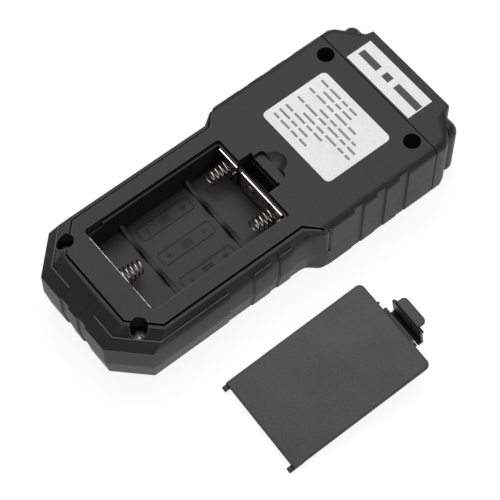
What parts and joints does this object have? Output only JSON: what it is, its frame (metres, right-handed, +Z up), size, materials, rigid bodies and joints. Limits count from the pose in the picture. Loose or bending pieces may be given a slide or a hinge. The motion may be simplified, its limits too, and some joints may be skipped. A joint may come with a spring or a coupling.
{
  "type": "handheld electromagnetic field meter",
  "caption": "Handheld field meter lying on its face, with an open battery bay, spring contacts, push buttons and display, and its latched battery cover laid beside it.",
  "frame": {"origin": "middle of the flat front face, which rests on the table", "axes": "+Y along the body to the sensor head, +Z up out of the back face, +X to the side where the cover lies"},
  "size_m": [0.1047, 0.1326, 0.0252],
  "materials": {
    "textured_abs": "fine textured moulding",
    "satin_abs": "satin moulding",
    "nickel": "nickel plated",
    "black_zinc": "black zinc plated",
    "label_film": "white printed film",
    "solder_mask": "satin",
    "epoxy": "moulded",
    "copper": "enamelled wire",
    "tinned_copper": "tinned",
    "acrylic": "clear",
    "lcd_glass": "polished",
    "nylon": "moulded",
    "silicone": "soft",
    "key_silicone": "soft matte",
    "lamp_epoxy": "clear tinted"
  },
  "bodies": {
    "case": {"rear_shell": "textured_abs", "front_shell": "textured_abs", "head_cap": "textured_abs", "contact_bridge_grip": "nickel", "contact_plate_grip": "nickel", "contact_plate_head": "nickel", "contact_bridge_head": "nickel", "contact_spring_1": "nickel", "contact_spring_2": "nickel", "contact_spring_3": "nickel", "case_screw_1": "black_zinc", "case_screw_2": "black_zinc", "case_screw_3": "black_zinc", "case_screw_4": "black_zinc", "rating_label": "label_film", "head_label": "label_film", "main_board": "solder_mask", "board_screw_1": "black_zinc", "board_screw_2": "black_zinc", "board_screw_3": "black_zinc", "board_screw_4": "black_zinc", "microcontroller": "epoxy", "buzzer": "epoxy", "field_coil": "copper", "field_plate": "tinned_copper", "display_window": "acrylic", "lcd_panel": "lcd_glass", "lcd_holder": "nylon", "lcd_connector": "silicone", "alarm_lamp": "lamp_epoxy", "switch_power": "epoxy", "switch_mode": "epoxy", "switch_hold": "epoxy"},
    "cover": {"battery_cover": "satin_abs"},
    "latch": {"cover_latch": "satin_abs"},
    "key_power": {"button_power": "key_silicone"},
    "key_mode": {"button_mode": "key_silicone"},
    "key_hold": {"button_hold": "key_silicone"}
  },
  "joints": [
    {"name": "cover_lift", "type": "slide", "parent": "case", "child": "cover", "axis": [0, 0, 1], "range_m": [0, 0.06]},
    {"name": "latch_flex", "type": "hinge", "parent": "cover", "child": "latch", "pos_m": [0.05962, 0.01349, 0.00081], "axis": [0.9989, -0.0462, 0], "range_deg": [0, 8], "stiffness_Nm_per_rad": 0.2},
    {"name": "press_power", "type": "slide", "parent": "case", "child": "key_power", "axis": [0, 0, 1], "range_m": [0, 0.0006], "stiffness_N_per_m": 1500},
    {"name": "press_mode", "type": "slide", "parent": "case", "child": "key_mode", "axis": [0, 0, 1], "range_m": [0, 0.0006], "stiffness_N_per_m": 1500},
    {"name": "press_hold", "type": "slide", "parent": "case", "child": "key_hold", "axis": [0, 0, 1], "range_m": [0, 0.0006], "stiffness_N_per_m": 1500}
  ]
}
